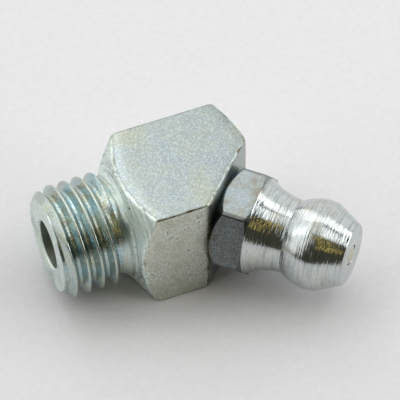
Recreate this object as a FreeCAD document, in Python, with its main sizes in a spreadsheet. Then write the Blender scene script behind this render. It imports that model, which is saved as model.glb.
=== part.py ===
import FreeCAD, Part

import math
import os
import sys

import Sketcher

# Angled grease nipple, 45 degrees, in millimetres.
# A square bar lies on its side with a threaded stud on one end, and a head with a spring-loaded
# check ball is pressed into the face that is milled across its far corner.
# The origin lies on the stud's axis at the shoulder where the thread meets the bar. +X runs into
# the bar, the head points towards +X and -Y, and +Z is up.

doc = FreeCAD.newDocument("AngledGreaseNipple")

# Driving dimensions in millimetres and degrees

SIZES = [
    # Square bar
    ("bar_side", 8.8),
    ("bar_edge_radius", 0.15),
    ("body_length", 9.92),
    ("shoulder_cone_angle", 30.0),
    ("end_flat_diameter", 8.1),
    ("end_cone_angle", 26.0),
    ("corner_radius", 0.4),
    # Threaded stud and the drilling through it
    ("thread_diameter", 8.0),
    ("thread_length", 5.3),
    ("thread_chamfer", 0.6),
    ("outlet_bore", 3.5),
    ("outlet_chamfer", 0.15),
    ("drill_point_angle", 118.0),
    # Milled face and the bore that takes the head
    ("elbow_offset", 5.03),
    ("head_angle", 45.0),
    ("head_face_offset", 3.15),
    ("shank_diameter", 5.4),
    ("shank_bore_depth", 2.15),
    ("shank_bore_chamfer", 0.2),
    ("shank_end_gap", 0.15),
    # Hexagon of the head
    ("hexagon_flats", 7.0),
    ("hexagon_turn", 7.0),
    ("collar_diameter", 7.94),
    ("collar_length", 2.5),
    ("collar_seat_diameter", 6.5),
    ("collar_front_chamfer", 0.16),
    # Neck and ball-shaped coupling head
    ("head_length", 9.4),
    ("neck_diameter", 5.33),
    ("ball_head_diameter", 6.5),
    ("ball_head_centre_depth", 2.46),
    ("tip_cone_start", 0.64),
    ("tip_flat_diameter", 4.4),
    # Mouth, seat and chamber of the check valve
    ("mouth_diameter", 1.5),
    ("mouth_lip", 0.06),
    ("chamber_diameter", 2.8),
    ("rear_lip_thickness", 0.4),
    ("rear_opening_diameter", 1.3),
    ("rear_roll_length", 0.7),
    ("rear_roll_depth", 0.6),
    # Check ball and its spring
    ("check_ball_diameter", 2.5),
    ("running_gap", 0.02),
    ("spring_wire_diameter", 0.32),
    ("spring_diameter", 2.2),
    ("spring_turns", 7.0),
]

sizes = doc.addObject("Spreadsheet::Sheet", "Sizes")
for row, (alias, number) in enumerate(SIZES, start=1):
    sizes.set(f"A{row}", alias.replace("_", " "))
    sizes.set(f"B{row}", str(number))
    sizes.setAlias(f"B{row}", alias)
doc.recompute()

# Places that several pieces share, written as formulas of the sheet. Those that start with "along"
# are stations on the head's axis, counted from the point where the two axes meet.

half_bar = "Sizes.bar_side / 2"
thread_radius = "Sizes.thread_diameter / 2"
outlet_radius = "Sizes.outlet_bore / 2"
drill_point = "tan(90 deg - Sizes.drill_point_angle * 1 deg / 2)"
shank_radius = "Sizes.shank_diameter / 2"
along_face = "Sizes.head_face_offset"
along_bore_end = f"({along_face} - Sizes.shank_bore_depth)"
along_shank_end = f"({along_bore_end} + Sizes.shank_end_gap)"
along_tip = f"({along_face} + Sizes.head_length)"
along_head_centre = f"({along_tip} - Sizes.ball_head_centre_depth)"
ball_radius = "(Sizes.check_ball_diameter / 2)"
mouth_radius = "(Sizes.mouth_diameter / 2)"
chamber_radius = "(Sizes.chamber_diameter / 2)"
along_seat = f"({along_tip} - Sizes.mouth_lip)"
# The seat is a 45 degree cone, so the ball's centre lies sqrt(2) times its radius behind the
# cone's point
along_ball = f"({along_seat} + {mouth_radius} - sqrt(2) * ({ball_radius} + Sizes.running_gap))"


def value(formula):
    """Present number of a formula."""
    return float(sizes.evalExpression(formula))


def add_sketch(body, name, plane, offset=None):
    """Empty sketch on one of the body's own origin planes."""
    sketch = body.newObject("Sketcher::SketchObject", name)
    base = next(item for item in body.Origin.OriginFeatures if item.Role == plane)
    sketch.AttachmentSupport = [(base, "")]
    sketch.MapMode = "FlatFace"
    if offset:
        sketch.AttachmentOffset = offset
    return sketch


def place_point(sketch, element, point, formulas):
    """Tie a point of a sketch element to formulas for its X and Y; None leaves one free."""
    for kind, formula in zip(("DistanceX", "DistanceY"), formulas):
        if formula is None:
            continue
        index = sketch.addConstraint(
            Sketcher.Constraint(kind, -1, 1, element, point, value(formula)))
        sketch.setExpression(f"Constraints[{index}]", formula)


def draw_profile(sketch, corners, arcs=None):
    """Closed outline through the corners.

    arcs maps a corner's number to (centre X, centre Y, counterclockwise) of the arc that runs
    from it to the next corner; that next corner is tied in X alone, because the arc gives its Y.
    """
    arcs = arcs or {}
    count = len(corners)
    points = [FreeCAD.Vector(value(x), value(y), 0) for x, y in corners]
    ends = []
    for number in range(count):
        start = points[number]
        end = points[(number + 1) % count]
        if number in arcs:
            centre_x, centre_y, turns_left = arcs[number]
            centre = FreeCAD.Vector(value(centre_x), value(centre_y), 0)
            first, last = (start, end) if turns_left else (end, start)
            circle = Part.Circle(centre, FreeCAD.Vector(0, 0, 1), (start - centre).Length)
            angles = [math.atan2(p.y - centre.y, p.x - centre.x) for p in (first, last)]
            element = sketch.addGeometry(Part.ArcOfCircle(circle, *angles), False)
            place_point(sketch, element, 3, (centre_x, centre_y))
            ends.append((element, 1, 2) if turns_left else (element, 2, 1))
        else:
            element = sketch.addGeometry(Part.LineSegment(start, end), False)
            ends.append((element, 1, 2))
    for number in range(count):
        element, start_point, end_point = ends[number]
        following, following_start, _ = ends[(number + 1) % count]
        sketch.addConstraint(
            Sketcher.Constraint("Coincident", element, end_point, following, following_start))
        x, y = corners[number]
        ends_an_arc = number - 1 in arcs
        place_point(sketch, element, start_point, (x, None if ends_an_arc else y))


def add_turning(body, kind, sketch, name):
    """Revolution or Groove of a sketch about its own horizontal axis."""
    feature = body.newObject(f"PartDesign::{kind}", name)
    feature.Profile = sketch
    feature.ReferenceAxis = (sketch, ["H_Axis"])
    feature.Angle = 360
    doc.recompute()


def check_cut(body, make_cut):
    """Run make_cut and stop unless it took material off the body."""
    before = body.Shape.Volume
    make_cut()
    if body.Shape.Volume >= before:
        raise RuntimeError(f"a cut in {body.Label} took nothing off")


def add_fillet(body, name, radius, is_wanted):
    """Round the edges of the body's tip that is_wanted picks."""
    tip = body.Tip
    names = [f"Edge{number}" for number, edge in enumerate(tip.Shape.Edges, start=1) if is_wanted(edge)]
    fillet = body.newObject("PartDesign::Fillet", name)
    fillet.Base = (tip, names)
    fillet.setExpression("Radius", radius)
    doc.recompute()


def runs_along(edge, axis):
    """Whether an edge is straight and parallel to an axis."""
    return edge.Curve.TypeId == "Part::GeomLine" and abs(edge.Curve.Direction.dot(axis)) > 0.999


def on_head_axis(piece, station):
    """Place a piece on the head's axis, with its own X along that axis."""
    turn = FreeCAD.Rotation(FreeCAD.Vector(0, 0, -1), value("Sizes.head_angle"))
    piece.Placement = FreeCAD.Placement(FreeCAD.Vector(value("Sizes.elbow_offset"), 0, 0), turn)
    piece.setExpression("Placement.Base.x", f"Sizes.elbow_offset + {station} * cos(Sizes.head_angle * 1 deg)")
    piece.setExpression("Placement.Base.y", f"-{station} * sin(Sizes.head_angle * 1 deg)")
    piece.setExpression("Placement.Rotation.Angle", "Sizes.head_angle * 1 deg")


# Angle body

def cone_cut(body, name, face, radius, angle, side):
    """Turn the end of the bar to a cone that starts at a radius of its end face.

    side is +1 where the cone widens towards +X and -1 where it widens towards -X.
    """
    outside = "Sizes.bar_side"
    slope = f"({outside} - {radius}) * tan({angle} * 1 deg)"
    sign = "+" if side > 0 else "-"
    clear = "-" if side > 0 else "+"
    sketch = add_sketch(body, name + "Profile", "XY_Plane")
    draw_profile(sketch, [
        (face, radius),
        (f"{face} {sign} {slope}", outside),
        (f"{face} {clear} Sizes.bar_side", outside),
        (f"{face} {clear} Sizes.bar_side", radius),
    ])
    check_cut(body, lambda: add_turning(body, "Groove", sketch, name))


def make_angle_body():
    """Square bar with its far corner milled off, a stud and the two crossing drillings."""
    body = doc.addObject("PartDesign::Body", "angle_body")
    body.Label = "angle_body"

    # The milled face stands head_face_offset from the point where the axes meet
    lean = "Sizes.head_angle * 1 deg"
    face_start = (f"Sizes.elbow_offset + (Sizes.head_face_offset - {half_bar} * sin({lean})) / cos({lean})")
    face_end = (f"((Sizes.body_length - Sizes.elbow_offset) * cos({lean}) - Sizes.head_face_offset)"
                f" / sin({lean})")
    outline = add_sketch(body, "BarOutline", "XY_Plane")
    draw_profile(outline, [
        ("0", f"-{half_bar}"),
        (face_start, f"-{half_bar}"),
        ("Sizes.body_length", face_end),
        ("Sizes.body_length", half_bar),
        ("0", half_bar),
    ])
    bar = body.newObject("PartDesign::Pad", "Bar")
    bar.Profile = outline
    bar.Midplane = True
    bar.setExpression("Length", "Sizes.bar_side")
    doc.recompute()

    # The bar keeps the drawn edges of its stock, and the corners of the milled face are eased
    along_x = FreeCAD.Vector(1, 0, 0)
    upright = FreeCAD.Vector(0, 0, 1)
    length = value("Sizes.body_length")
    add_fillet(body, "FarCorner", "Sizes.corner_radius", lambda edge: (
        runs_along(edge, upright) and edge.CenterOfMass.x > length - 0.001
        and edge.CenterOfMass.y < value(half_bar) - 0.001))
    add_fillet(body, "StockEdges", "Sizes.bar_edge_radius", lambda edge: (
        runs_along(edge, along_x)
        or (runs_along(edge, upright) and edge.CenterOfMass.y < 0.001 - value(half_bar)
            and edge.CenterOfMass.x > 0.001)))

    cone_cut(body, "EndCone", "Sizes.body_length", "Sizes.end_flat_diameter / 2", "Sizes.end_cone_angle", -1)
    cone_cut(body, "ShoulderCone", "0", thread_radius, "Sizes.shoulder_cone_angle", 1)

    stud = add_sketch(body, "StudProfile", "XY_Plane")
    draw_profile(stud, [
        ("-Sizes.thread_length", "0"),
        ("-Sizes.thread_length", f"{thread_radius} - Sizes.thread_chamfer"),
        ("Sizes.thread_chamfer - Sizes.thread_length", thread_radius),
        ("0", thread_radius),
        ("0", "0"),
    ])
    add_turning(body, "Revolution", stud, "Stud")

    outlet = add_sketch(body, "OutletProfile", "XY_Plane")
    draw_profile(outlet, [
        ("-Sizes.thread_length", "0"),
        ("-Sizes.thread_length", f"{outlet_radius} + Sizes.outlet_chamfer"),
        ("Sizes.outlet_chamfer - Sizes.thread_length", outlet_radius),
        ("Sizes.elbow_offset", outlet_radius),
        (f"Sizes.elbow_offset + {outlet_radius} * {drill_point}", "0"),
    ])
    check_cut(body, lambda: add_turning(body, "Groove", outlet, "Outlet"))

    turn = FreeCAD.Rotation(FreeCAD.Vector(0, 0, -1), value("Sizes.head_angle"))
    bore = add_sketch(body, "HeadBoreProfile", "XY_Plane",
                      FreeCAD.Placement(FreeCAD.Vector(value("Sizes.elbow_offset"), 0, 0), turn))
    bore.setExpression("AttachmentOffset.Base.x", "Sizes.elbow_offset")
    bore.setExpression("AttachmentOffset.Rotation.Angle", "Sizes.head_angle * 1 deg")
    draw_profile(bore, [
        (f"{along_bore_end} - {shank_radius} * {drill_point}", "0"),
        (along_bore_end, shank_radius),
        (f"{along_face} - Sizes.shank_bore_chamfer", shank_radius),
        (along_face, f"{shank_radius} + Sizes.shank_bore_chamfer"),
        (along_face, "0"),
    ])
    check_cut(body, lambda: add_turning(body, "Groove", bore, "HeadBore"))
    return body


# Nipple head

def make_nipple_head():
    """Turned head: shank, hexagon, waisted neck, ball-shaped head and the check valve's chamber."""
    body = doc.addObject("PartDesign::Body", "nipple_head")
    body.Label = "nipple_head"
    on_head_axis(body, "0")

    collar_radius = "Sizes.collar_diameter / 2"
    seat_radius = "Sizes.collar_seat_diameter / 2"
    flat_radius = "Sizes.hexagon_flats / 2"
    neck_radius = "Sizes.neck_diameter / 2"
    head_radius = "(Sizes.ball_head_diameter / 2)"
    along_front = f"({along_face} + Sizes.collar_length)"
    along_neck = f"({along_head_centre} - sqrt({head_radius} ^ 2 - ({neck_radius}) ^ 2))"
    # The neck is one hollow arc from the hexagon's front, level where it meets the ball
    neck_run = f"({along_neck} - {along_front})"
    neck_drop = f"({flat_radius} - {neck_radius})"
    neck_arc_radius = f"(({neck_run} ^ 2 + {neck_drop} ^ 2) / (2 * {neck_drop}))"
    tip_cone_radius = f"sqrt({head_radius} ^ 2 - Sizes.tip_cone_start ^ 2)"

    profile = add_sketch(body, "HeadProfile", "XY_Plane")
    draw_profile(profile, [
        (along_shank_end, "0"),
        (along_shank_end, f"{shank_radius} - Sizes.rear_roll_depth"),
        (f"{along_shank_end} + Sizes.rear_roll_length", shank_radius),
        (along_face, shank_radius),
        (along_face, seat_radius),
        (f"{along_face} + {collar_radius} - {seat_radius}", collar_radius),
        (f"{along_front} - Sizes.collar_front_chamfer", collar_radius),
        (along_front, flat_radius),
        (along_neck, neck_radius),
        (f"{along_head_centre} + Sizes.tip_cone_start", tip_cone_radius),
        (along_tip, "Sizes.tip_flat_diameter / 2"),
        (along_tip, "0"),
    ], arcs={
        7: (along_neck, f"{neck_radius} + {neck_arc_radius}", True),
        8: (along_head_centre, "0", False),
    })
    add_turning(body, "Revolution", profile, "Turned")

    # Milling outside the hexagon leaves six flats
    ring = add_sketch(body, "HexagonOutline", "YZ_Plane")
    ring.setExpression("AttachmentOffset.Base.z", along_face)
    across_corners = f"({flat_radius} / cos(30 deg))"
    draw_profile(ring, [
        (f"{across_corners} * cos({60 * corner} deg + Sizes.hexagon_turn * 1 deg)",
         f"{across_corners} * sin({60 * corner} deg + Sizes.hexagon_turn * 1 deg)")
        for corner in range(6)
    ])
    rim = ring.addGeometry(Part.Circle(FreeCAD.Vector(0, 0, 0), FreeCAD.Vector(0, 0, 1),
                                       value("Sizes.collar_diameter")), False)
    ring.addConstraint(Sketcher.Constraint("Coincident", rim, 3, -1, 1))
    index = ring.addConstraint(Sketcher.Constraint("Radius", rim, value("Sizes.collar_diameter")))
    ring.setExpression(f"Constraints[{index}]", "Sizes.collar_diameter")

    def mill_flats():
        flats = body.newObject("PartDesign::Pocket", "HexagonFlats")
        flats.Profile = ring
        flats.Reversed = True
        flats.setExpression("Length", "Sizes.collar_length")
        doc.recompute()

    check_cut(body, mill_flats)

    # The chamber is bored from the rear, and the rear lip is rolled in behind the spring
    opening_radius = "Sizes.rear_opening_diameter / 2"
    chamber = add_sketch(body, "ChamberProfile", "XY_Plane")
    draw_profile(chamber, [
        (along_shank_end, "0"),
        (along_shank_end, opening_radius),
        (f"{along_shank_end} + Sizes.rear_lip_thickness", opening_radius),
        (f"{along_shank_end} + Sizes.rear_lip_thickness", chamber_radius),
        (f"{along_seat} + {mouth_radius} - {chamber_radius}", chamber_radius),
        (along_seat, mouth_radius),
        (along_tip, mouth_radius),
        (along_tip, "0"),
    ])
    check_cut(body, lambda: add_turning(body, "Groove", chamber, "Chamber"))
    return body


# Check ball

def make_check_ball():
    """Ball that closes the mouth from inside, at rest just off its seat."""
    ball = doc.addObject("Part::Sphere", "check_ball")
    ball.Label = "check_ball"
    ball.setExpression("Radius", ball_radius)
    on_head_axis(ball, along_ball)
    doc.recompute()
    return ball


# Spring

WIRE_SIDES = 8


def make_ball_spring():
    """Coil spring between the rolled rear lip and the back of the ball."""
    body = doc.addObject("PartDesign::Body", "ball_spring")
    body.Label = "ball_spring"
    on_head_axis(body, "0")

    wire_radius = "Sizes.spring_wire_diameter / 2"
    coil_radius = "((Sizes.spring_diameter - Sizes.spring_wire_diameter) / 2)"
    along_rear = f"({along_shank_end} + Sizes.rear_lip_thickness + {wire_radius} + Sizes.running_gap)"
    reach = f"({ball_radius} + {wire_radius} + Sizes.running_gap)"
    along_front = f"({along_ball} - sqrt({reach} ^ 2 - {coil_radius} ^ 2))"

    # The round wire is drawn with flat sides, so that its many turns stay light
    section = add_sketch(body, "WireSection", "XY_Plane")
    draw_profile(section, [
        (f"{along_rear} + {wire_radius} * cos({360 / WIRE_SIDES * side} deg)",
         f"{coil_radius} + {wire_radius} * sin({360 / WIRE_SIDES * side} deg)")
        for side in range(WIRE_SIDES)
    ])

    coil = body.newObject("PartDesign::AdditiveHelix", "Coil")
    coil.Profile = section
    coil.ReferenceAxis = (section, ["H_Axis"])
    coil.Mode = "height-turns-angle"
    coil.setExpression("Height", f"{along_front} - {along_rear}")
    coil.setExpression("Turns", "Sizes.spring_turns")
    doc.recompute()
    return body


pieces = [make_angle_body(), make_nipple_head(), make_check_ball(), make_ball_spring()]
doc.recompute()

# Checks before anything is written

for item in doc.Objects:
    if "Invalid" in item.State or "Error" in item.State:
        sys.exit(f"{item.Label} failed: {item.State}")
for piece in pieces:
    if piece.Shape.isNull() or not piece.Shape.isValid() or len(piece.Shape.Solids) != 1:
        sys.exit(f"{piece.Label} is not one valid solid")

os.makedirs("parts", exist_ok=True)
for piece in pieces:
    piece.Shape.exportStep(f"parts/{piece.Label}.step")
    box = piece.Shape.BoundBox
    print(f"{piece.Label}: volume {piece.Shape.Volume:.3f} mm3, x {box.XMin:.2f} to {box.XMax:.2f},"
          f" y {box.YMin:.2f} to {box.YMax:.2f}, z {box.ZMin:.2f} to {box.ZMax:.2f}")
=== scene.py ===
import math

import bmesh
import bpy
import numpy as np
from mathutils import Matrix, Vector


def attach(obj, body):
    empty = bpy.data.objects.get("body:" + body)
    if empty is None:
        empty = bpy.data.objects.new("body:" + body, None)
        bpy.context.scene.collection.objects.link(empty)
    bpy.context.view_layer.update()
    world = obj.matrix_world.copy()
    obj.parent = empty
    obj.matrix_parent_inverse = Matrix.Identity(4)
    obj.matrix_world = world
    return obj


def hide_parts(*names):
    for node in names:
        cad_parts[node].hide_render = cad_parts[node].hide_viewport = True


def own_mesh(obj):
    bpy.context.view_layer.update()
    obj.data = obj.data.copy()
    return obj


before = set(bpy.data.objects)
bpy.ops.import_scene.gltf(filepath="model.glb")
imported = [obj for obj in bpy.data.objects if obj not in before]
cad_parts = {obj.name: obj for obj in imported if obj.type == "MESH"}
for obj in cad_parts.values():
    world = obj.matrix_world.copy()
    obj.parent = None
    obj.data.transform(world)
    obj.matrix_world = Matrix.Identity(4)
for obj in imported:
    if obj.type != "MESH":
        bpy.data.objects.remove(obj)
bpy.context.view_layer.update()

# Angled grease nipple of zinc-plated steel, lying on the side of its square bar.
# Sizes are in millimetres and angles in degrees, in the model's own frame: the stud lies along -X,
# the head points halfway between +X and -Y, and +Z is up.

MM = 0.001

# Square bar
BAR_HALF = 4.4
BODY_LENGTH = 9.92
SHOULDER_CONE = 30.0
END_FLAT_RADIUS = 4.05
END_CONE = 26.0
EDGE_ROUND = 0.22
SHOULDER_ROUND = 0.5
END_ROUND = 0.3
# What lies beyond this along the stud's axis belongs to the bar
SHOULDER_AT = -0.01
# The bands within this reach of an edge take the stains
EDGE_REACH = 0.38

# Threaded stud and the drilling through it
THREAD_RADIUS = 4.0
THREAD_LENGTH = 5.3
THREAD_CHAMFER = 0.6
# The end face's first row lies this far inside its chamfer
END_FACE_INSET = 0.04
PITCH = 1.0
CREST_WIDTH = 0.12
CREST_ROUND = 0.1
ROOT_ROUND = 0.07
FLANK_ANGLE = 30.0
THREAD_DEPTH = 0.56
# A crest passes CREST_X_AT at this angle about the stud, and sinks into the run-out between these two
CREST_ANGLE_AT = 38.9
CREST_X_AT = -4.0
CREST_FADES_FROM = -1.0
CREST_FADES_TO = -0.72
RUNOUT_SWEEP = 1.15
# What lies less deep than CREST_SHOWS looks like a crest; the run-out's finish lies between these
# shares of the thread's depth
CREST_SHOWS = 0.03
SWEPT_SHARE = 0.35
SWEPT_FROM = 0.97
OUTLET_RADIUS = 1.75
OUTLET_CHAMFER = 0.15
OUTLET_ROUND = 0.05
DRILL_POINT = 31.0

# Head, measured along its own axis from the point where the two axes meet
ELBOW = 5.03
HEAD_ANGLE = 45.0
FACE_AT = 3.15
SHANK_RADIUS = 2.7
SHANK_END_AT = 1.15
COLLAR_RADIUS = 3.97
COLLAR_LENGTH = 2.5
SEAT_RADIUS = 3.25
SEAT_INSET = 0.1
HEXAGON_RADIUS = 3.5
HEXAGON_TURN = 7.0
FRONT_CHAMFER = 0.16
FRONT_LEDGE = 0.04
COLLAR_EASE = 0.03
FLAT_END = 0.15
REAR_ROUND = 0.06
HEXAGON_ROUND = 0.09
# Sides of the hexagon that face the tent's open, dim side and the floor, painted darker as shade, counted
# from its turn
PAINTED_SHADE_SIDES = (2, 3)
TIP_AT = 12.55
NECK_RADIUS = 2.665
BALL_HEAD_RADIUS = 3.25
BALL_HEAD_AT = 10.09
TIP_CONE_AT = 10.73
TIP_RADIUS = 2.2
TIP_ROUND = 0.1
MOUTH_ROUND = 0.02
MOUTH_RADIUS = 0.75
MOUTH_LIP = 0.06
CHAMBER_RADIUS = 1.4
REAR_LIP = 0.4
REAR_OPENING = 0.65
REAR_ROLL = 0.7
REAR_ROLL_DEPTH = 0.6
REAR_ROLL_ROUND = 0.1

# Check ball and spring
CHECK_BALL_RADIUS = 1.25
GAP = 0.02
WIRE_RADIUS = 0.16
COIL_RADIUS = 0.94
COIL_TURNS = 7

HEAD_AXIS = Vector((math.cos(math.radians(HEAD_ANGLE)), -math.sin(math.radians(HEAD_ANGLE)), 0))
HEAD_SIDE = Vector((math.sin(math.radians(HEAD_ANGLE)), math.cos(math.radians(HEAD_ANGLE)), 0))
ELBOW_POINT = Vector((ELBOW, 0, 0))
CHECK_BALL_AT = TIP_AT - MOUTH_LIP + MOUTH_RADIUS - math.sqrt(2) * (CHECK_BALL_RADIUS + GAP)

# Camera that matches the photograph, which is 400 by 400 pixels
CAMERA_TURN = -22.146
CAMERA_RISE = 49.432
CAMERA_ROLL = -0.167
CAMERA_AT = (-53.089, -145.649, 183.411)
CAMERA_FOCUS = 3431.2
PHOTO_WIDTH = 400
SENSOR = 36.0
CLIP_NEAR = 0.01
CLIP_FAR = 10.0

# Light tent: name, compass bearing (0 towards +Y, 90 towards +X), rise, width, height, radiance and colour.
# The slats are something wooden beside the camera, which the bright head and the grooves mirror as gold.
PANEL_DISTANCE = 300
PANELS = [
    ("panel_behind_right", 42, 36, 503, 436, 0.92, "#FFFFFF"),
    ("panel_behind", -28, 36, 360, 436, 1.12, "#FFFFFF"),
    ("panel_left", -82, 34, 255, 350, 1.12, "#FFFFFF"),
    ("panel_above", 0, 84, 220, 200, 0.75, "#FFFFFF"),
    ("panel_front_right", 134, 60, 130, 115, 1.8, "#FFFFFF"),
    ("panel_right", 112, 20, 220, 150, 3.6, "#FFFFFF"),
    ("panel_right_high", 84, 52, 120, 110, 1.5, "#FFFFFF"),
    ("wooden_slat_low", 174, 34, 120, 10, 2.2, "#FFE070"),
    ("wooden_slat_middle", 174, 50, 120, 10, 2.2, "#FFE070"),
    ("wooden_slat_high", -170, 66, 120, 10, 2.2, "#FFE070"),
]
ROOM_COLOUR = "#BCBCA4"
ROOM_LIGHT = 0.12

# Paper floor: half its side in metres, and its fibres drawn coarser than the real ones of 0.02 mm
FLOOR_HALF = 1.5
FIBRE_MM = 0.5
PAPER_TONES = ("#DEDEE1", "#E3E3E6")
PAPER_ROUGHNESS = 0.9
PAPER_SHINE = 0.1

# Places of the skins' finishes in their lists of materials
BODY_FINISHES = ("bar", "cone", "thread", "bore", "crest", "bar_side", "runout")
BAR, CONE, THREAD, BORE, CREST, PAINTED_LIGHT_SIDE, RUNOUT = range(len(BODY_FINISHES))
HEAD_FINISHES = ("head", "flats", "flats_with_painted_shade")
HEAD, FLATS, PAINTED_SHADE_FLATS = range(len(HEAD_FINISHES))

# Rows and columns of the bar beside its edges, in millimetres from them; the other columns stand evenly
# from EVEN_FROM on
EDGE_ROWS = (0, 0.04, 0.08, 0.12, 0.17, 0.24)
EDGE_COLUMNS = (0, 0.03, 0.06, 0.1, 0.14, 0.2, 0.28)
EVEN_FROM = 0.4
EVEN_COLUMNS = 62
# The same in degrees about the head's axis, beside the hexagon's turned corners
CORNER_COLUMNS = (0.25, 0.6, 1.0, 1.5)
FLAT_FROM = 2.5
FLAT_COLUMNS = 36
HEXAGON_STEP = 60
# Threads in order from past the shoulder to past the stud's end, where 0 is the one at CREST_X_AT
THREADS = range(4, -4, -1)
# The rounded bar is found by halving along rays from a place inside it, between these shares of them
RAYS_FROM = (ELBOW, 1.0, 0.0)
RAY_LOW = 0.5
RAY_HIGH = 1.05
HALVINGS = 30
# Mesh fineness: steps of a corner and an arc, rings and columns of the ball, steps of a coil's turn and
# sides of the wire
CORNER_STEPS = 4
ARC_STEPS = 24
BALL_RINGS = 40
BALL_COLUMNS = 80
COIL_STEPS = 36
WIRE_SIDES = 14
SHARP_ANGLE = 32.0
WELD_DISTANCE = 2e-7
# A rounding takes at most this share of the shorter side beside it
CORNER_SHARE = 0.45
SMALLEST_ANGLE = 1e-3
# Stands in for a ray that never meets the face
FAR = 1e3
# Smallest difference that counts, and what keeps divisions from zero
TOLERANCE = 1e-6
TINY = 1e-9

# Patterns' ramps: where each starts and ends on its noise
CLOUD_STOPS = (0.36, 0.5, 0.64)
GRAIN_STOPS = (0.42, 0.72)
RING_STOPS = (0.36, 0.52)
SPECK_STOPS = (0.3, 0.38)
STAIN_STOPS = (0.34, 0.46)
# How strongly the clouds gather the specks, and how far they move the roughness
SPECK_GROUPING = 0.7
ROUGH_LOW = 0.85
ROUGH_HIGH = 1.2
STAINS_PER_MM = 0.9
STREAK_SCALE = 0.4
ALONG_STUD = (0, 0, 0)
ALONG_HEAD = (0, 0, math.radians(HEAD_ANGLE))


# Mesh helpers

def at_angle(rows, angles):
    """Points (x, y, z) for rows of (x, radius) about the X axis, one column for each angle."""
    return np.stack([rows[..., 0], rows[..., 1] * np.cos(angles), rows[..., 1] * np.sin(angles)], -1)


def near_ends(start, end, middle):
    """Rows from start up to, but not with, end: close together near both, with some between."""
    length = np.linalg.norm(end - start, axis=-1, keepdims=True)
    scale = np.minimum(1, 0.5 * length / EDGE_ROWS[-1])
    along = (end - start) / np.maximum(length, TINY)
    first = [start + along * step * scale for step in EDGE_ROWS]
    last = [end - along * step * scale for step in EDGE_ROWS[:0:-1]]
    between = [first[-1] + (last[0] - first[-1]) * (i + 1) / (middle + 1) for i in range(middle)]
    return first + between + last


def round_corner(before, corner, after, radius):
    """Rows that round a corner of a profile; the points may be arrays with one place per column."""
    back = before - corner
    ahead = after - corner
    back_length = np.maximum(np.linalg.norm(back, axis=-1, keepdims=True), TINY)
    ahead_length = np.maximum(np.linalg.norm(ahead, axis=-1, keepdims=True), TINY)
    back = back / back_length
    ahead = ahead / ahead_length
    half = np.arccos(np.clip((back * ahead).sum(-1, keepdims=True), -1, 1)) / 2
    reach = radius / np.tan(np.maximum(half, SMALLEST_ANGLE))
    reach = np.minimum(reach, CORNER_SHARE * np.minimum(back_length, ahead_length))
    rows = []
    for i in range(CORNER_STEPS + 1):
        s = i / CORNER_STEPS
        rows.append(corner + back * reach * (1 - s) ** 2 + ahead * reach * s ** 2)
    return rows


def round_profile(corners):
    """Profile of (x, radius, rounding) with its inner corners rounded; a rounding of 0 keeps one point."""
    points = [np.array(corner[:2], float) for corner in corners]
    rows = [points[0]]
    for i in range(1, len(points) - 1):
        rounding = corners[i][2]
        if rounding:
            rows += round_corner(points[i - 1], points[i], points[i + 1], rounding)
        else:
            rows.append(points[i])
    return rows + [points[-1]]


def new_mesh(name, points, faces, finishes, materials, near_edge=None):
    """Object from points in millimetres.

    finishes gives each face the number of its material, and near_edge gives each point its
    nearness to an edge for the stains and wear there.
    """
    mesh = bpy.data.meshes.new(name)
    mesh.from_pydata([tuple(p) for p in points * MM], [], faces)
    for material in materials:
        mesh.materials.append(material)
    mesh.polygons.foreach_set("material_index", finishes)
    mesh.polygons.foreach_set("use_smooth", [True] * len(faces))
    if near_edge is not None:
        mesh.attributes.new("near_edge", "FLOAT", "POINT").data.foreach_set("value", near_edge)
    mesh.update()
    piece = bpy.data.objects.new(name, mesh)
    bpy.context.collection.objects.link(piece)
    weld(piece)
    mesh.set_sharp_from_angle(angle=math.radians(SHARP_ANGLE))
    return piece


def weld(piece):
    """Merge points that coincide, and turn the faces outwards."""
    made = bmesh.new()
    made.from_mesh(piece.data)
    bmesh.ops.remove_doubles(made, verts=made.verts, dist=WELD_DISTANCE)
    bmesh.ops.recalc_face_normals(made, faces=made.faces)
    made.to_mesh(piece.data)
    made.free()


def turned_mesh(name, rows, angles, finish_of_row, materials, wrap=None, place=None, closed=False,
                near_edge=None):
    """Skin over rows of (x, radius), each an array with one place per angle.

    finish_of_row has one number, or one number per angle, for the faces that follow each row.
    wrap gives, for each row, how many rows further on it continues after a full turn, which lets
    a thread's rows climb. place turns the points into the model's frame, and near_edge works out
    their nearness to an edge.
    """
    columns = len(angles)
    count = len(rows)
    grid = np.array([np.broadcast_to(row, (columns, 2)) for row in rows])
    points = at_angle(grid, angles[None, :]).reshape(-1, 3)
    if place is not None:
        points = place(points)
    faces = []
    finishes = []
    last = count if closed else count - 1
    for i in range(last):
        finish = np.broadcast_to(finish_of_row[i], columns)
        below = (i + 1) % count
        for j in range(columns):
            shift = wrap[i] if wrap and j == columns - 1 else 0
            shift_below = wrap[below] if wrap and j == columns - 1 else 0
            ahead = (j + 1) % columns
            faces.append((i * columns + j, below * columns + j,
                          (below + shift_below) % count * columns + ahead,
                          (i + shift) % count * columns + ahead))
            finishes.append(int(finish[j]))
    nearness = near_edge(points) if near_edge else None
    return new_mesh(name, points, faces, finishes, materials, nearness)


def on_head(points):
    """Points of a head turned about X, moved onto the head's axis."""
    turn = np.array([HEAD_AXIS, HEAD_SIDE, (0, 0, 1)])
    return points @ turn + np.array(ELBOW_POINT)


# Materials

def colour(hex_code):
    """sRGB hex colour as linear RGBA."""
    channels = [int(hex_code[i:i + 2], 16) / 255 for i in (1, 3, 5)]
    return (*[c / 12.92 if c <= 0.04045 else ((c + 0.055) / 1.055) ** 2.4 for c in channels], 1.0)


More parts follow.
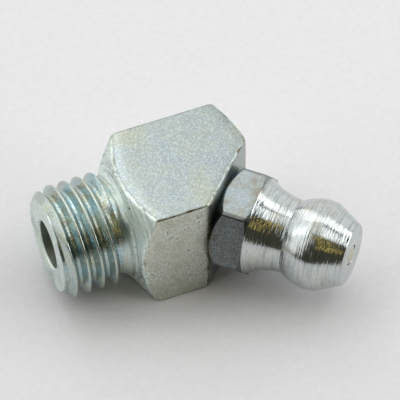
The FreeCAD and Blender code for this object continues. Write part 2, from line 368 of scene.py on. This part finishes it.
def add_node(tree, kind, inputs=None, stops=None, **settings):
    """One node with its settings, its links or values by input, and the stops of its ramp."""
    node = tree.nodes.new(kind)
    for name, setting in settings.items():
        setattr(node, name, setting)
    for name, source in (inputs or {}).items():
        socket = node.inputs[name]
        if isinstance(source, bpy.types.NodeSocket):
            tree.links.new(source, socket)
        else:
            socket.default_value = source
    for i, (position, shade) in enumerate(stops or []):
        elements = node.color_ramp.elements
        element = elements[i] if i < len(elements) else elements.new(position)
        element.position = position
        element.color = shade
    return node


def grey(value):
    """Linear grey as RGBA."""
    return (value, value, value, 1.0)


def zinc_plated(name, tints, roughness, clouds_mm=2.0, grain_mm=0.13, grain_depth=0.006, grain_shade=0.2,
                rings=None, specks=None, edge_stain=None):
    """Bright zinc plating over worked steel.

    The eye sees a cold grey metal with soft patches of blue, green and straw from the passivation,
    and a frosty crystalline grain. Real zinc crystals are some hundredths of a millimetre wide,
    which is too fine to show, so grain_mm draws them coarser.
    tints are three colours of the patches; rings is (axis turn, spacing in mm, depth in mm,
    shade) of the turning marks that show through; specks is (spacing in mm, share, shade) of
    small dark stains and pits; edge_stain is the brown that gathers in patches along the edges.
    """
    material = bpy.data.materials.new(name)
    material.use_nodes = True
    tree = material.node_tree
    tree.nodes.clear()
    place = add_node(tree, "ShaderNodeTexCoord")
    in_mm = add_node(tree, "ShaderNodeMapping", {
        "Vector": place.outputs["Object"], "Scale": (1 / MM, 1 / MM, 1 / MM)}).outputs["Vector"]

    clouds = add_node(tree, "ShaderNodeTexNoise", {
        "Vector": in_mm, "Scale": 1 / clouds_mm, "Detail": 3.0, "Roughness": 0.65})
    base = add_node(tree, "ShaderNodeValToRGB", {"Fac": clouds.outputs["Fac"]}, stops=[
        (stop, colour(tint)) for stop, tint in zip(CLOUD_STOPS, tints)]).outputs["Color"]

    grain = add_node(tree, "ShaderNodeTexNoise", {
        "Vector": in_mm, "Scale": 1 / grain_mm, "Detail": 2.0, "Roughness": 0.6})
    layers = [add_node(tree, "ShaderNodeValToRGB", {"Fac": grain.outputs["Fac"]}, stops=[
        (GRAIN_STOPS[0], grey(1 - grain_shade)), (GRAIN_STOPS[1], grey(1.0))])]
    normal = add_node(tree, "ShaderNodeBump", {
        "Height": grain.outputs["Fac"], "Distance": grain_depth * MM}).outputs["Normal"]
    if rings:
        turn, spacing, depth, shade = rings
        turned = add_node(tree, "ShaderNodeMapping", {"Vector": in_mm, "Rotation": turn})
        # Squeezed along the axis, which draws the noise out into streaks round it
        drawn_out = add_node(tree, "ShaderNodeMapping", {
            "Vector": turned.outputs["Vector"], "Scale": (1 / spacing, STREAK_SCALE, STREAK_SCALE)})
        marks = add_node(tree, "ShaderNodeTexNoise", {
            "Vector": drawn_out.outputs["Vector"], "Scale": 1.0, "Detail": 2.0, "Roughness": 0.6})
        layers.append(add_node(tree, "ShaderNodeValToRGB", {"Fac": marks.outputs["Fac"]}, stops=[
            (RING_STOPS[0], grey(1 - shade)), (RING_STOPS[1], grey(1.0))]))
        normal = add_node(tree, "ShaderNodeBump", {
            "Height": marks.outputs["Fac"], "Distance": depth * MM, "Normal": normal}).outputs["Normal"]
    if specks:
        spacing, share, shade = specks
        stains = add_node(tree, "ShaderNodeTexNoise", {
            "Vector": in_mm, "Scale": 1 / spacing, "Detail": 3.0, "Roughness": 0.8})
        # Added to the slower clouds, so that the specks lie in groups
        grouped = add_node(tree, "ShaderNodeMath", {
            0: clouds.outputs["Fac"], 1: SPECK_GROUPING, 2: stains.outputs["Fac"]},
            operation="MULTIPLY_ADD")
        layers.append(add_node(tree, "ShaderNodeValToRGB", {"Fac": grouped.outputs["Value"]}, stops=[
            (share + SPECK_STOPS[0], colour(shade)), (share + SPECK_STOPS[1], grey(1.0))]))
    if edge_stain:
        patches = add_node(tree, "ShaderNodeTexNoise", {
            "Vector": in_mm, "Scale": STAINS_PER_MM, "Detail": 5.0, "Roughness": 0.75})
        near = add_node(tree, "ShaderNodeAttribute", attribute_name="near_edge")
        gathered = add_node(tree, "ShaderNodeMath", {0: patches.outputs["Fac"], 1: near.outputs["Fac"]},
                            operation="MULTIPLY")
        layers.append(add_node(tree, "ShaderNodeValToRGB", {"Fac": gathered.outputs["Value"]}, stops=[
            (STAIN_STOPS[0], grey(1.0)), (STAIN_STOPS[1], colour(edge_stain))]))
    for layer in layers:
        base = add_node(tree, "ShaderNodeMix", {
            "Factor": 1.0, "A": base, "B": layer.outputs["Color"]},
            data_type="RGBA", blend_type="MULTIPLY").outputs["Result"]

    rough = add_node(tree, "ShaderNodeMapRange", {
        "Value": clouds.outputs["Fac"], "From Min": 0.3, "From Max": 0.7,
        "To Min": roughness * ROUGH_LOW, "To Max": roughness * ROUGH_HIGH})
    metal = add_node(tree, "ShaderNodeBsdfPrincipled", {
        "Base Color": base, "Metallic": 1.0, "Roughness": rough.outputs["Result"], "Normal": normal})
    add_node(tree, "ShaderNodeOutputMaterial", {"Surface": metal.outputs["BSDF"]})
    return material


def make_materials():
    """Every finish of the nipple by name."""
    return {
        # Cold-drawn bar, plated: frosted, with faint green and straw patches and brown specks
        "bar": zinc_plated("zinc_plated_drawn_bar", ("#B9C5C8", "#BDC7C3", "#C2C8BC"), 0.3,
                           clouds_mm=3.0, grain_mm=0.12, grain_depth=0.01, grain_shade=0.36,
                           specks=(0.45, 0.2, "#A89C8C"), edge_stain="#9A8E76"),
        # The same bar on its upright sides, with painted light: lighter, warmer tints than the top for the
        # floor light they mirror, and small dark pits
        "bar_side": zinc_plated("zinc_plated_bar_side_painted_light", ("#E6EEE5", "#E2E6D8", "#D4D7C7"), 0.34,
                                grain_shade=0.3, specks=(0.26, 0.37, "#AFA48E"), edge_stain="#9A9078"),
        # Turned cones and end face: the lathe's fine rings show as streaks under the plating, and the tints
        # are lifted near white, past the bar's plating, as painted light for the bright shoulder
        "cone": zinc_plated("zinc_plated_turned_cone_painted_light", ("#F2FFFF", "#F2FFF8", "#ECF6EC"), 0.42,
                            rings=(ALONG_STUD, 0.11, 0.035, 0.32), grain_shade=0.24,
                            specks=(0.35, 0.33, "#A89E8A"), edge_stain="#C0B9A4"),
        # Cut thread: the passivation dried in the grooves and left them blue and olive
        "thread": zinc_plated("zinc_plated_thread_groove", ("#BEDCE2", "#CADCDA", "#C8CCB6"), 0.23,
                              clouds_mm=0.9, grain_depth=0.012, grain_shade=0.4),
        # Burnished crests of the thread: brighter and warmer than its grooves
        "crest": zinc_plated("burnished_thread_crest", ("#C4D2D2", "#CAD4CA", "#C8CAB8"), 0.2,
                             clouds_mm=0.8, grain_depth=0.01, grain_shade=0.2),
        # Where the die ran out against the shoulder: torn and rubbed, between groove and cone
        "runout": zinc_plated("rubbed_thread_runout", ("#CCE0E0", "#D2E0D8", "#D0D6C4"), 0.34,
                              rings=(ALONG_STUD, 0.12, 0.03, 0.4), clouds_mm=0.9,
                              grain_depth=0.004, grain_shade=0.2),
        # Drilled bore, which hardly takes the plating: dull and dark
        "bore": zinc_plated("dull_zinc_in_bore", ("#9DA9A2", "#A2AA9C", "#969C90"), 0.5),
        # Turned head, plated bright over fine turning rings, which break its reflections into streaks
        "head": zinc_plated("zinc_plated_turned_head", ("#D0D8DB", "#D2D8D8", "#D2D5CE"), 0.13,
                            rings=(ALONG_HEAD, 0.12, 0.034, 0.26), grain_depth=0.004, grain_shade=0.15),
        # Milled flats of the hexagon: flat, cloudy and a little stained
        "flats": zinc_plated("zinc_plated_milled_flats", ("#98A2A7", "#99A1A1", "#918F85"), 0.26,
                             clouds_mm=1.2, grain_shade=0.22, specks=(0.35, 0.25, "#A8A090")),
        # Flats that face the tent's open, dim side and the floor: painted shade, darker tints than the
        # other flats
        "flats_with_painted_shade": zinc_plated("milled_flats_painted_shade", ("#8A9194", "#8A908F", "#848682"), 0.22,
                                  clouds_mm=1.0, grain_mm=0.1, grain_shade=0.55),
        # Hardened bearing ball, polished: smooth, with a warm cast
        "ball": zinc_plated("polished_ball_steel", ("#CCCAB8", "#C8C8BA", "#C2C0AE"), 0.14,
                            grain_depth=0.001, grain_shade=0.05),
        # Cold-drawn spring wire, bare: plain and darker
        "wire": zinc_plated("drawn_spring_wire", ("#A6A8AB", "#9C9C9C", "#969696"), 0.3),
    }


# Angle body

def face_angles():
    """Angles about the stud's axis, closest together near the bar's four edges."""
    near = np.array(EDGE_COLUMNS)
    even = BAR_HALF - EVEN_FROM
    along = np.concatenate([-BAR_HALF + near, np.linspace(-even, even, EVEN_COLUMNS),
                            BAR_HALF - near[:0:-1]])
    one_side = np.arctan2(along, BAR_HALF)
    return np.concatenate([one_side + side * math.pi / 2 for side in range(4)])


def bar_distances(points):
    """Signed distances of points to the planes and cones that bound the bar."""
    x, y, z = points[..., 0], points[..., 1], points[..., 2]
    radius = np.hypot(y, z)
    lean = math.radians(HEAD_ANGLE)
    shoulder = math.radians(SHOULDER_CONE)
    far = math.radians(END_CONE)
    return np.stack([
        y - BAR_HALF, -y - BAR_HALF, z - BAR_HALF, -z - BAR_HALF,
        x - BODY_LENGTH,
        (x - ELBOW) * math.cos(lean) - y * math.sin(lean) - FACE_AT,
        (radius - THREAD_RADIUS) * math.sin(shoulder) - x * math.cos(shoulder),
        (x - BODY_LENGTH) * math.cos(far) + (radius - END_FLAT_RADIUS) * math.sin(far),
    ])


def ease_edges(points):
    """Draw points on the sharp bar in to the same bar with rounded edges.

    A place is inside while the squares of its shares of the roundings' bands, face by face, add up
    to less than 1.
    """
    centre = np.array(RAYS_FROM)
    rounding = np.array([EDGE_ROUND] * 6 + [SHOULDER_ROUND, END_ROUND])
    rounding = rounding.reshape(-1, *[1] * (points.ndim - 1))
    rays = points - centre
    low = np.full(points.shape[:-1], RAY_LOW)
    high = np.full(points.shape[:-1], RAY_HIGH)
    for _ in range(HALVINGS):
        middle = (low + high) / 2
        away = bar_distances(centre + rays * middle[..., None])
        inside = (np.maximum(away / rounding + 1, 0) ** 2).sum(0) < 1
        low = np.where(inside, middle, low)
        high = np.where(inside, high, middle)
    return centre + rays * low[..., None]


def bar_rows(angles):
    """Rows of the bar from the far end of the stud's axis back to the shoulder."""
    across = np.cos(angles)
    side = BAR_HALF / np.maximum(np.abs(np.cos(angles)), np.abs(np.sin(angles)))
    slope = math.tan(math.radians(END_CONE))
    shoulder = math.tan(math.radians(SHOULDER_CONE))
    # Where the stud's axis comes out through the 45 degree face, and where each column leaves that face
    pierce = ELBOW + FACE_AT * math.sqrt(2)
    top = BODY_LENGTH - pierce
    corner = np.where(across > TOLERANCE, top / np.maximum(across, TOLERANCE), FAR)
    on_cone = (top + END_FLAT_RADIUS * slope) / np.maximum(across + slope, TOLERANCE)
    on_cone = np.where(across + slope > TOLERANCE, on_cone, FAR)
    leaves = np.minimum(np.where(corner < END_FLAT_RADIUS, corner, on_cone), side)
    cut = np.stack([pierce + leaves * across, leaves], -1)
    has_end = corner < END_FLAT_RADIUS
    flat = np.where(has_end[:, None], np.array([BODY_LENGTH, END_FLAT_RADIUS]), cut)
    has_cone = leaves < side - TOLERANCE
    cone_end = np.stack([BODY_LENGTH - (side - END_FLAT_RADIUS) * slope, side], -1)
    cone_end = np.where(has_cone[:, None], cone_end, cut)
    face_end = np.stack([(side - THREAD_RADIUS) * shoulder, side], -1)
    root = np.broadcast_to(np.array([0.0, THREAD_RADIUS]), cut.shape)
    pole = np.broadcast_to(np.array([pierce, 0.0]), cut.shape)
    # The bar's upright sides have their own finish, with painted light: a lighter, warmer copy of the bar's
    sides = np.where(np.abs(np.cos(angles)) > math.sqrt(0.5), PAINTED_LIGHT_SIDE, BAR)
    # Start, end, rows between and finish of each stretch
    sections = [(pole, cut, 8, BAR), (cut, flat, 4, BAR), (flat, cone_end, 2, CONE),
                (cone_end, face_end, 14, sides), (face_end, root, 8, CONE)]
    rows = []
    finish = []
    for start, end, middle, kind in sections:
        made = near_ends(start, end, middle)
        rows += made
        finish += [kind] * len(made)
    return rows, finish


def near_bar_edge(points):
    """How near each point lies to an edge of the bar, from 0 (EDGE_REACH off and more) to 1."""
    to_second_face = np.sort(bar_distances(points), axis=0)[-2]
    on_bar = points[:, 0] > SHOULDER_AT
    return np.where(on_bar, np.clip(1 + to_second_face / EDGE_REACH, 0, 1), 0)


def thread_section():
    """(offset along the stud, depth) of one thread from groove to groove, its crest and root rounded."""
    crest = CREST_WIDTH / 2
    run = THREAD_DEPTH * math.tan(math.radians(FLANK_ANGLE))
    corners = [
        (-0.5 * PITCH, THREAD_DEPTH, 0), (-crest - run, THREAD_DEPTH, ROOT_ROUND),
        (-crest, 0.0, CREST_ROUND), (crest, 0.0, CREST_ROUND),
        (crest + run, THREAD_DEPTH, ROOT_ROUND), (0.5 * PITCH, THREAD_DEPTH, 0),
    ]
    return round_profile(corners)[:-1]


def stud_radius(x):
    """Radius of the stud without its thread."""
    return np.minimum(THREAD_RADIUS, THREAD_RADIUS - THREAD_CHAMFER + x + THREAD_LENGTH)


def runout_radius(x):
    """Radius of the run-out groove, which sweeps up from the thread's root into the shoulder's cone."""
    reach = math.sqrt(RUNOUT_SWEEP ** 2 - (RUNOUT_SWEEP - THREAD_DEPTH) ** 2)
    along = np.clip(x + reach, 0, reach)
    return THREAD_RADIUS - THREAD_DEPTH + RUNOUT_SWEEP - np.sqrt(RUNOUT_SWEEP ** 2 - along ** 2)


def stud_rows(angles):
    """Rows that follow the helix from the shoulder to the stud's end, their finishes, and rows a thread."""
    section = thread_section()
    first = CREST_X_AT - PITCH * CREST_ANGLE_AT / 360
    climb = PITCH * angles / (2 * math.pi)
    rows = []
    finish = []
    for turn in THREADS:
        for offset, depth in reversed(section):
            x = np.clip(first + PITCH * turn + offset + climb, -THREAD_LENGTH, 0.0)
            crest = first + PITCH * turn + climb
            # Each crest sinks smoothly into the run-out groove
            fade = np.clip((crest - CREST_FADES_FROM) / (CREST_FADES_TO - CREST_FADES_FROM), 0, 1)
            height = (THREAD_DEPTH - depth) * (1 - fade * fade * (3 - 2 * fade))
            sweep = runout_radius(x)
            radius = np.minimum(stud_radius(x), np.maximum(THREAD_RADIUS - THREAD_DEPTH + height, sweep))
            rows.append(np.stack([x, radius], -1))
            sunk = (THREAD_RADIUS - radius) / THREAD_DEPTH
            swept = np.where(sunk < SWEPT_SHARE, CONE, RUNOUT)
            cut = np.where(stud_radius(x) - radius < CREST_SHOWS, CREST, THREAD)
            finish.append(np.where((radius <= sweep) & (sunk < SWEPT_FROM), swept, cut))
    return rows, finish, len(section)


def outlet_rows():
    """Profile from the stud's end face through the outlet drilling to its drill point."""
    edge = OUTLET_RADIUS + OUTLET_CHAMFER
    corners = [
        (-THREAD_LENGTH, THREAD_RADIUS - THREAD_CHAMFER - END_FACE_INSET, 0),
        (-THREAD_LENGTH, edge, OUTLET_ROUND),
        (OUTLET_CHAMFER - THREAD_LENGTH, OUTLET_RADIUS, OUTLET_ROUND), (ELBOW, OUTLET_RADIUS, 0),
        (ELBOW + OUTLET_RADIUS * math.tan(math.radians(DRILL_POINT)), 0.0, 0),
    ]
    return round_profile(corners)


def make_angle_body(materials):
    """Square bar with its milled corner, cones, threaded stud and outlet, as one closed skin."""
    angles = face_angles()
    bar, finish = bar_rows(angles)
    stud, stud_finish, per_turn = stud_rows(angles)
    outlet = outlet_rows()
    rows = bar + stud + outlet
    end_face = 1 + CORNER_STEPS + 1
    finish += stud_finish + [CONE] * end_face + [BORE] * (len(outlet) - end_face)
    # A stud row that passes the full turn carries on as the row one pitch nearer the shoulder
    wrap = [0] * len(bar) + [-per_turn] * len(stud) + [0] * len(outlet)
    # Those of the first thread all lie on the shoulder, and carry on as its first row
    for i in range(per_turn):
        wrap[len(bar) + i] = -i

    def ease(points):
        """Round the bar's rows only; the stud and its outlet are rounded in their own rows."""
        grid = points.reshape(len(rows), len(angles), 3)
        grid[:len(bar)] = ease_edges(grid[:len(bar)])
        return grid.reshape(-1, 3)

    finishes = [materials[name] for name in BODY_FINISHES]
    return turned_mesh("angle_body_skin", rows, angles, finish, finishes, wrap=wrap, place=ease,
                       near_edge=near_bar_edge)


# Nipple head

def hexagon_angles():
    """Angles about the head's axis, closest together where the hexagon's corners are turned off."""
    corner = math.degrees(math.acos(HEXAGON_RADIUS / COLLAR_RADIUS))
    near = np.array(CORNER_COLUMNS)
    even = corner - FLAT_FROM
    next_corner = HEXAGON_STEP - corner
    one_side = np.concatenate([
        np.linspace(-even, even, FLAT_COLUMNS), corner - near[::-1], [corner], corner + near[:3],
        next_corner - near[2::-1], [next_corner], next_corner + near])
    one_side = np.unique(np.round(one_side, 4))
    all_sides = np.concatenate([one_side + HEXAGON_STEP * side for side in range(6)])
    return np.radians(all_sides + HEXAGON_TURN + HEXAGON_STEP / 2)


def collar_radius(angles):
    """Radius of the hexagon with its corners turned off, a little rounded where the two meet."""
    off_flat = (np.degrees(angles) - HEXAGON_TURN) % HEXAGON_STEP - HEXAGON_STEP / 2
    flat = HEXAGON_RADIUS / np.cos(np.radians(off_flat))
    gap = np.abs(flat - COLLAR_RADIUS)
    return np.minimum(flat, COLLAR_RADIUS) - np.maximum(COLLAR_EASE - gap, 0) ** 2 / (4 * COLLAR_EASE)


def arc(centre, start, end):
    """Points of a circle's arc between two points, without the first."""
    centre = np.array(centre, float)
    first = np.array(start, float) - centre
    last = np.array(end, float) - centre
    begin = math.atan2(first[1], first[0])
    sweep = (math.atan2(last[1], last[0]) - begin + math.pi) % (2 * math.pi) - math.pi
    radius = np.linalg.norm(first)
    turns = [begin + sweep * (i + 1) / ARC_STEPS for i in range(ARC_STEPS)]
    return [centre + radius * np.array([math.cos(t), math.sin(t)]) for t in turns]


def head_rows(angles):
    """Closed rows of the turned head: shank, hexagon, neck, ball, tip, mouth and chamber."""
    collar = collar_radius(angles)
    front_at = FACE_AT + COLLAR_LENGTH
    spread = np.ones_like(collar)
    seat = np.stack([FACE_AT * spread, SEAT_RADIUS * spread], -1)
    rear = np.stack([FACE_AT + collar - SEAT_RADIUS, collar], -1)
    lift = FRONT_CHAMFER / (COLLAR_RADIUS - HEXAGON_RADIUS)
    front = np.stack([front_at - (collar - HEXAGON_RADIUS) * lift, collar], -1)
    ledge_radius = HEXAGON_RADIUS - FRONT_LEDGE
    shoulder = np.stack([front_at * spread, ledge_radius * spread], -1)
    neck_at = BALL_HEAD_AT - math.sqrt(BALL_HEAD_RADIUS ** 2 - NECK_RADIUS ** 2)
    run = neck_at - front_at
    drop = ledge_radius - NECK_RADIUS
    neck_arc = (run ** 2 + drop ** 2) / (2 * drop)
    neck = arc((neck_at, NECK_RADIUS + neck_arc), (front_at, ledge_radius), (neck_at, NECK_RADIUS))
    cone_radius = math.sqrt(BALL_HEAD_RADIUS ** 2 - (TIP_CONE_AT - BALL_HEAD_AT) ** 2)
    ball = arc((BALL_HEAD_AT, 0), (neck_at, NECK_RADIUS), (TIP_CONE_AT, cone_radius))

    inside_radius = SEAT_RADIUS - SEAT_INSET
    shank = round_profile([
        (SHANK_END_AT, REAR_OPENING, 0),
        (SHANK_END_AT, SHANK_RADIUS - REAR_ROLL_DEPTH, REAR_ROLL_ROUND),
        (SHANK_END_AT + REAR_ROLL, SHANK_RADIUS, REAR_ROLL_ROUND), (FACE_AT, SHANK_RADIUS, 0),
        (FACE_AT, inside_radius, 0)])
    inside_seat = np.stack([FACE_AT * spread, inside_radius * spread], -1)
    along_flat = np.array([FLAT_END, 0.0])
    rounded = (round_corner(inside_seat, seat, rear, REAR_ROUND)
               + round_corner(seat, rear, front, HEXAGON_ROUND) + [rear + along_flat, front - along_flat]
               + round_corner(rear, front, shoulder, HEXAGON_ROUND))
    seat_cone = TIP_AT - MOUTH_LIP - (CHAMBER_RADIUS - MOUTH_RADIUS)
    tip = round_profile([
        (*ball[-1], 0), (TIP_AT, TIP_RADIUS, TIP_ROUND), (TIP_AT, MOUTH_RADIUS, MOUTH_ROUND),
        (TIP_AT - MOUTH_LIP, MOUTH_RADIUS, 0), (seat_cone, CHAMBER_RADIUS, 0),
        (SHANK_END_AT + REAR_LIP, CHAMBER_RADIUS, 0), (SHANK_END_AT + REAR_LIP, REAR_OPENING, 0)])
    rows = shank + rounded + [shoulder] + neck + ball + tip[1:]
    side = np.floor((np.degrees(angles) - HEXAGON_TURN) / HEXAGON_STEP) % 6
    # Flats on the sides away from the lights take the finish with painted shade
    flats = np.where(np.isin(side, PAINTED_SHADE_SIDES), PAINTED_SHADE_FLATS, FLATS)
    turned = len(rows) - len(shank) - len(rounded)
    return rows, [HEAD] * len(shank) + [flats] * len(rounded) + [HEAD] * turned


def make_nipple_head(materials):
    """Turned head with its hexagon, placed on the head's axis."""
    angles = hexagon_angles()
    rows, finish = head_rows(angles)
    finishes = [materials[name] for name in HEAD_FINISHES]
    return turned_mesh("nipple_head_skin", rows, angles, finish, finishes, place=on_head, closed=True)


# Check ball and spring

def make_check_ball(materials):
    """Ball behind the mouth, with its poles on the head's axis."""
    bend = np.linspace(0, math.pi, BALL_RINGS)
    rows = [np.array([CHECK_BALL_AT + CHECK_BALL_RADIUS * math.cos(b), CHECK_BALL_RADIUS * math.sin(b)])
            for b in bend]
    angles = np.linspace(0, 2 * math.pi, BALL_COLUMNS, endpoint=False)
    return turned_mesh("check_ball_skin", rows, angles, [0] * len(rows), [materials["ball"]], place=on_head)


def make_ball_spring(materials):
    """Coil of round wire between the rear lip and the back of the ball."""
    rear = SHANK_END_AT + REAR_LIP + WIRE_RADIUS + GAP
    reach = CHECK_BALL_RADIUS + WIRE_RADIUS + GAP
    front = CHECK_BALL_AT - math.sqrt(reach ** 2 - COIL_RADIUS ** 2)
    steps = COIL_TURNS * COIL_STEPS
    sides = WIRE_SIDES
    points = []
    for i in range(steps + 1):
        turn = 2 * math.pi * COIL_TURNS * i / steps
        along = rear + (front - rear) * i / steps
        for j in range(sides):
            around = 2 * math.pi * j / sides
            radius = COIL_RADIUS + WIRE_RADIUS * math.cos(around)
            points.append((along + WIRE_RADIUS * math.sin(around), radius * math.cos(turn),
                           radius * math.sin(turn)))
    faces = [(i * sides + j, i * sides + (j + 1) % sides, (i + 1) * sides + (j + 1) % sides,
              (i + 1) * sides + j) for i in range(steps) for j in range(sides)]
    faces += [tuple(range(sides)), tuple(range(steps * sides, (steps + 1) * sides))]
    return new_mesh("ball_spring_wire", on_head(np.array(points)), faces, [0] * len(faces),
                    [materials["wire"]])


# Stage, light and camera

def make_floor():
    """Plain pale sheet of paper that the nipple lies on, with a faint mottle of its fibres."""
    mesh = bpy.data.meshes.new("floor")
    level = -BAR_HALF * MM
    corners = [(FLOOR_HALF * x, FLOOR_HALF * y, level) for x, y in ((-1, -1), (1, -1), (1, 1), (-1, 1))]
    mesh.from_pydata(corners, [], [(0, 1, 2, 3)])
    floor = bpy.data.objects.new("floor", mesh)
    bpy.context.collection.objects.link(floor)
    paper = bpy.data.materials.new("matt_white_paper")
    paper.use_nodes = True
    surface = paper.node_tree.nodes["Principled BSDF"]
    place = add_node(paper.node_tree, "ShaderNodeTexCoord")
    fibres = add_node(paper.node_tree, "ShaderNodeTexNoise", {
        "Vector": place.outputs["Object"], "Scale": 1 / (FIBRE_MM * MM), "Detail": 3.0, "Roughness": 0.7})
    tone = add_node(paper.node_tree, "ShaderNodeValToRGB", {"Fac": fibres.outputs["Fac"]}, stops=[
        (0.3, colour(PAPER_TONES[0])), (0.7, colour(PAPER_TONES[1]))])
    paper.node_tree.links.new(tone.outputs["Color"], surface.inputs["Base Color"])
    surface.inputs["Roughness"].default_value = PAPER_ROUGHNESS
    surface.inputs["Specular IOR Level"].default_value = PAPER_SHINE
    mesh.materials.append(paper)


def add_panel(name, compass, rise, width, height, radiance, tint):
    """Flat soft panel that faces the nipple; compass is 0 towards +Y and 90 towards +X."""
    lamp = bpy.data.lights.new(name, "AREA")
    lamp.shape = "RECTANGLE"
    lamp.size = width * MM
    lamp.size_y = height * MM
    lamp.energy = math.pi * lamp.size * lamp.size_y * radiance
    lamp.color = colour(tint)[:3]
    turn, lift = math.radians(compass), math.radians(rise)
    away = Vector((math.sin(turn) * math.cos(lift), math.cos(turn) * math.cos(lift), math.sin(lift)))
    light = bpy.data.objects.new(name, lamp)
    light.location = away * PANEL_DISTANCE * MM
    light.rotation_euler = (-away).to_track_quat("-Z", "Y").to_euler()
    bpy.context.collection.objects.link(light)


def make_lights():
    """White tent of panels, open towards the camera but for three wooden slats, in a dim room."""
    for panel in PANELS:
        add_panel(*panel)
    world = bpy.data.worlds.new("dim_studio")
    world.use_nodes = True
    background = world.node_tree.nodes["Background"]
    background.inputs["Color"].default_value = colour(ROOM_COLOUR)
    background.inputs["Strength"].default_value = ROOM_LIGHT
    bpy.context.scene.world = world
    # The photograph's tones are shown without a film curve
    bpy.context.scene.view_settings.view_transform = "Standard"


def make_camera():
    """Long-lens camera at the photograph's place."""
    turn, rise, roll = (math.radians(a) for a in (CAMERA_TURN, CAMERA_RISE, CAMERA_ROLL))
    back = Vector((math.sin(turn) * math.cos(rise), -math.cos(turn) * math.cos(rise), math.sin(rise)))
    level = Vector((math.cos(turn), math.sin(turn), 0))
    above = back.cross(level)
    right = level * math.cos(roll) + above * math.sin(roll)
    up = above * math.cos(roll) - level * math.sin(roll)
    lens = bpy.data.cameras.new("camera")
    lens.sensor_width = SENSOR
    lens.lens = CAMERA_FOCUS * SENSOR / PHOTO_WIDTH
    lens.clip_start = CLIP_NEAR
    lens.clip_end = CLIP_FAR
    camera = bpy.data.objects.new("camera", lens)
    facing = Matrix((right, up, back)).transposed().to_4x4()
    camera.matrix_world = Matrix.Translation(Vector(CAMERA_AT) * MM) @ facing
    bpy.context.collection.objects.link(camera)
    bpy.context.scene.camera = camera


def dress():
    """Every visible piece, standing for its node and riding on its body."""
    materials = make_materials()
    pieces = [
        (make_angle_body(materials), "angle_body", "zinc_steel_body", "nipple"),
        (make_nipple_head(materials), "nipple_head", "zinc_steel_head", "nipple"),
        (make_check_ball(materials), "check_ball", "bearing_steel", "ball"),
        (make_ball_spring(materials), "ball_spring", "spring_steel", "nipple"),
    ]
    for piece, node, slot, body in pieces:
        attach(piece, body)
        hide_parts(node)
    spring = pieces[-1][0]
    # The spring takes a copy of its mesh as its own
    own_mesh(spring)


make_camera()
make_floor()
make_lights()
dress()
